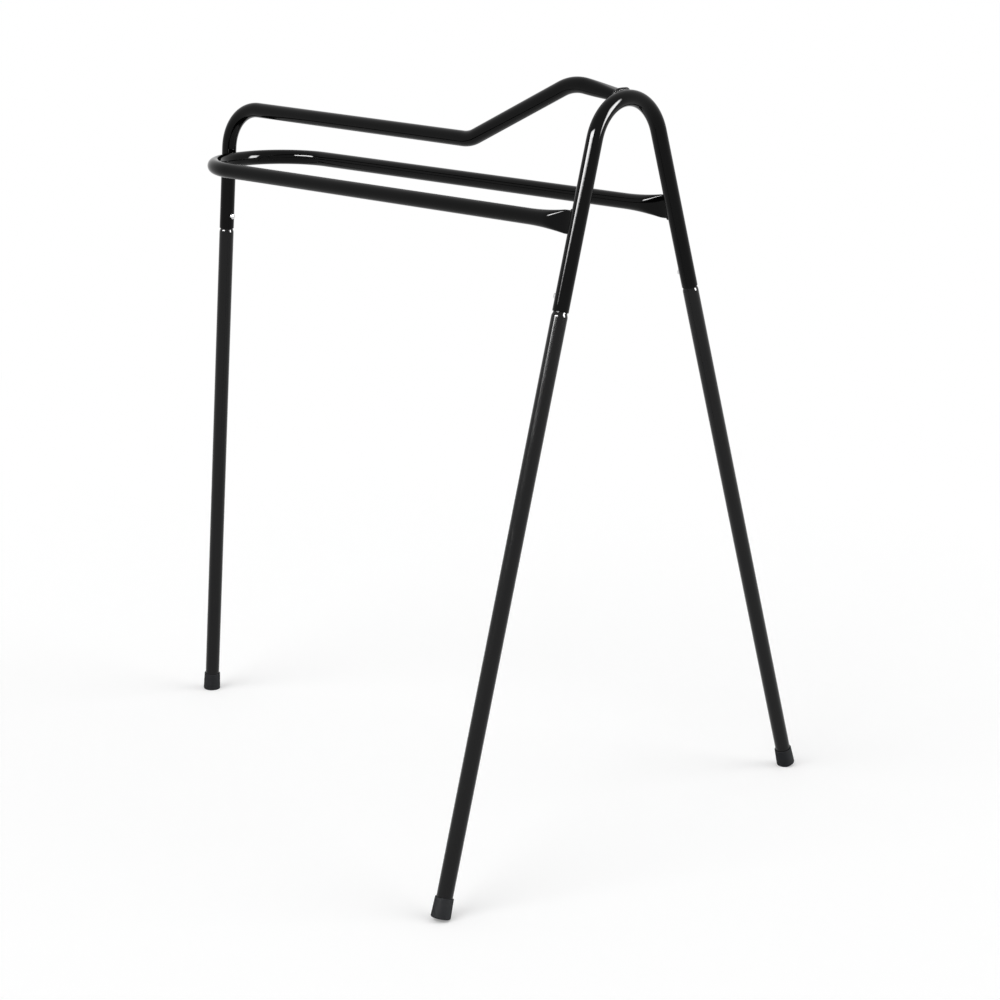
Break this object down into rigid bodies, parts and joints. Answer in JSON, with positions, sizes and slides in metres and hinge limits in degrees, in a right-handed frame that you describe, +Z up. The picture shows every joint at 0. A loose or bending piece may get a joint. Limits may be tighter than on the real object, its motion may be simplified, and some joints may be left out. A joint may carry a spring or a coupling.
{
  "type": "saddle rack",
  "caption": "Free-standing tubular saddle rack with a raised pommel hump, a horizontal side rail and pull-off lower legs held by snap buttons.",
  "frame": {"origin": "on the floor, on the centre line, midway between the line of the front feet and the rear foot", "axes": "+X towards the rack's right side seen from behind the pommel, +Y from the pommel end towards the rear leg, +Z up"},
  "size_m": [0.7154, 0.8272, 0.9578],
  "materials": {
    "gloss_black_enamel": "gloss black enamel on steel tube",
    "satin_black_enamel": "satin black enamel on steel tube",
    "black_rubber": "matt black rubber",
    "zinc_plated_steel": "bright zinc plate",
    "spring_steel": "plain spring steel"
  },
  "bodies": {
    "frame": {"front_a_frame": "gloss_black_enamel", "spine_tube": "gloss_black_enamel", "side_rail": "gloss_black_enamel"},
    "front_left_leg": {"front_left_lower_leg": "satin_black_enamel", "front_left_rubber_foot": "black_rubber", "front_left_button_clip": "spring_steel"},
    "front_left_button": {"front_left_snap_button": "zinc_plated_steel"},
    "front_right_leg": {"front_right_lower_leg": "satin_black_enamel", "front_right_rubber_foot": "black_rubber", "front_right_button_clip": "spring_steel"},
    "front_right_button": {"front_right_snap_button": "zinc_plated_steel"},
    "rear_leg": {"rear_lower_leg": "satin_black_enamel", "rear_rubber_foot": "black_rubber", "rear_button_clip": "spring_steel"},
    "rear_button": {"rear_snap_button": "zinc_plated_steel"}
  },
  "joints": [
    {"name": "front_left_leg_pull", "type": "slide", "parent": "frame", "child": "front_left_leg", "axis": [-0.3055, -0.0316, -0.9517], "range_m": [0, 0.18]},
    {"name": "front_left_button_press", "type": "slide", "parent": "front_left_leg", "child": "front_left_button", "axis": [0.0097, -0.9995, 0.0301], "range_m": [0, 0.005], "stiffness_N_per_m": 1500, "deforming": ["front_left_button_clip"]},
    {"name": "front_right_leg_pull", "type": "slide", "parent": "frame", "child": "front_right_leg", "axis": [0.3055, -0.0316, -0.9517], "range_m": [0, 0.18]},
    {"name": "front_right_button_press", "type": "slide", "parent": "front_right_leg", "child": "front_right_button", "axis": [-0.0097, -0.9995, 0.0301], "range_m": [0, 0.005], "stiffness_N_per_m": 1500, "deforming": ["front_right_button_clip"]},
    {"name": "rear_leg_pull", "type": "slide", "parent": "frame", "child": "rear_leg", "axis": [0, 0.0732, -0.9973], "range_m": [0, 0.18]},
    {"name": "rear_button_press", "type": "slide", "parent": "rear_leg", "child": "rear_button", "axis": [0, 0.9973, 0.0732], "range_m": [0, 0.005], "stiffness_N_per_m": 1500, "deforming": ["rear_button_clip"]}
  ]
}
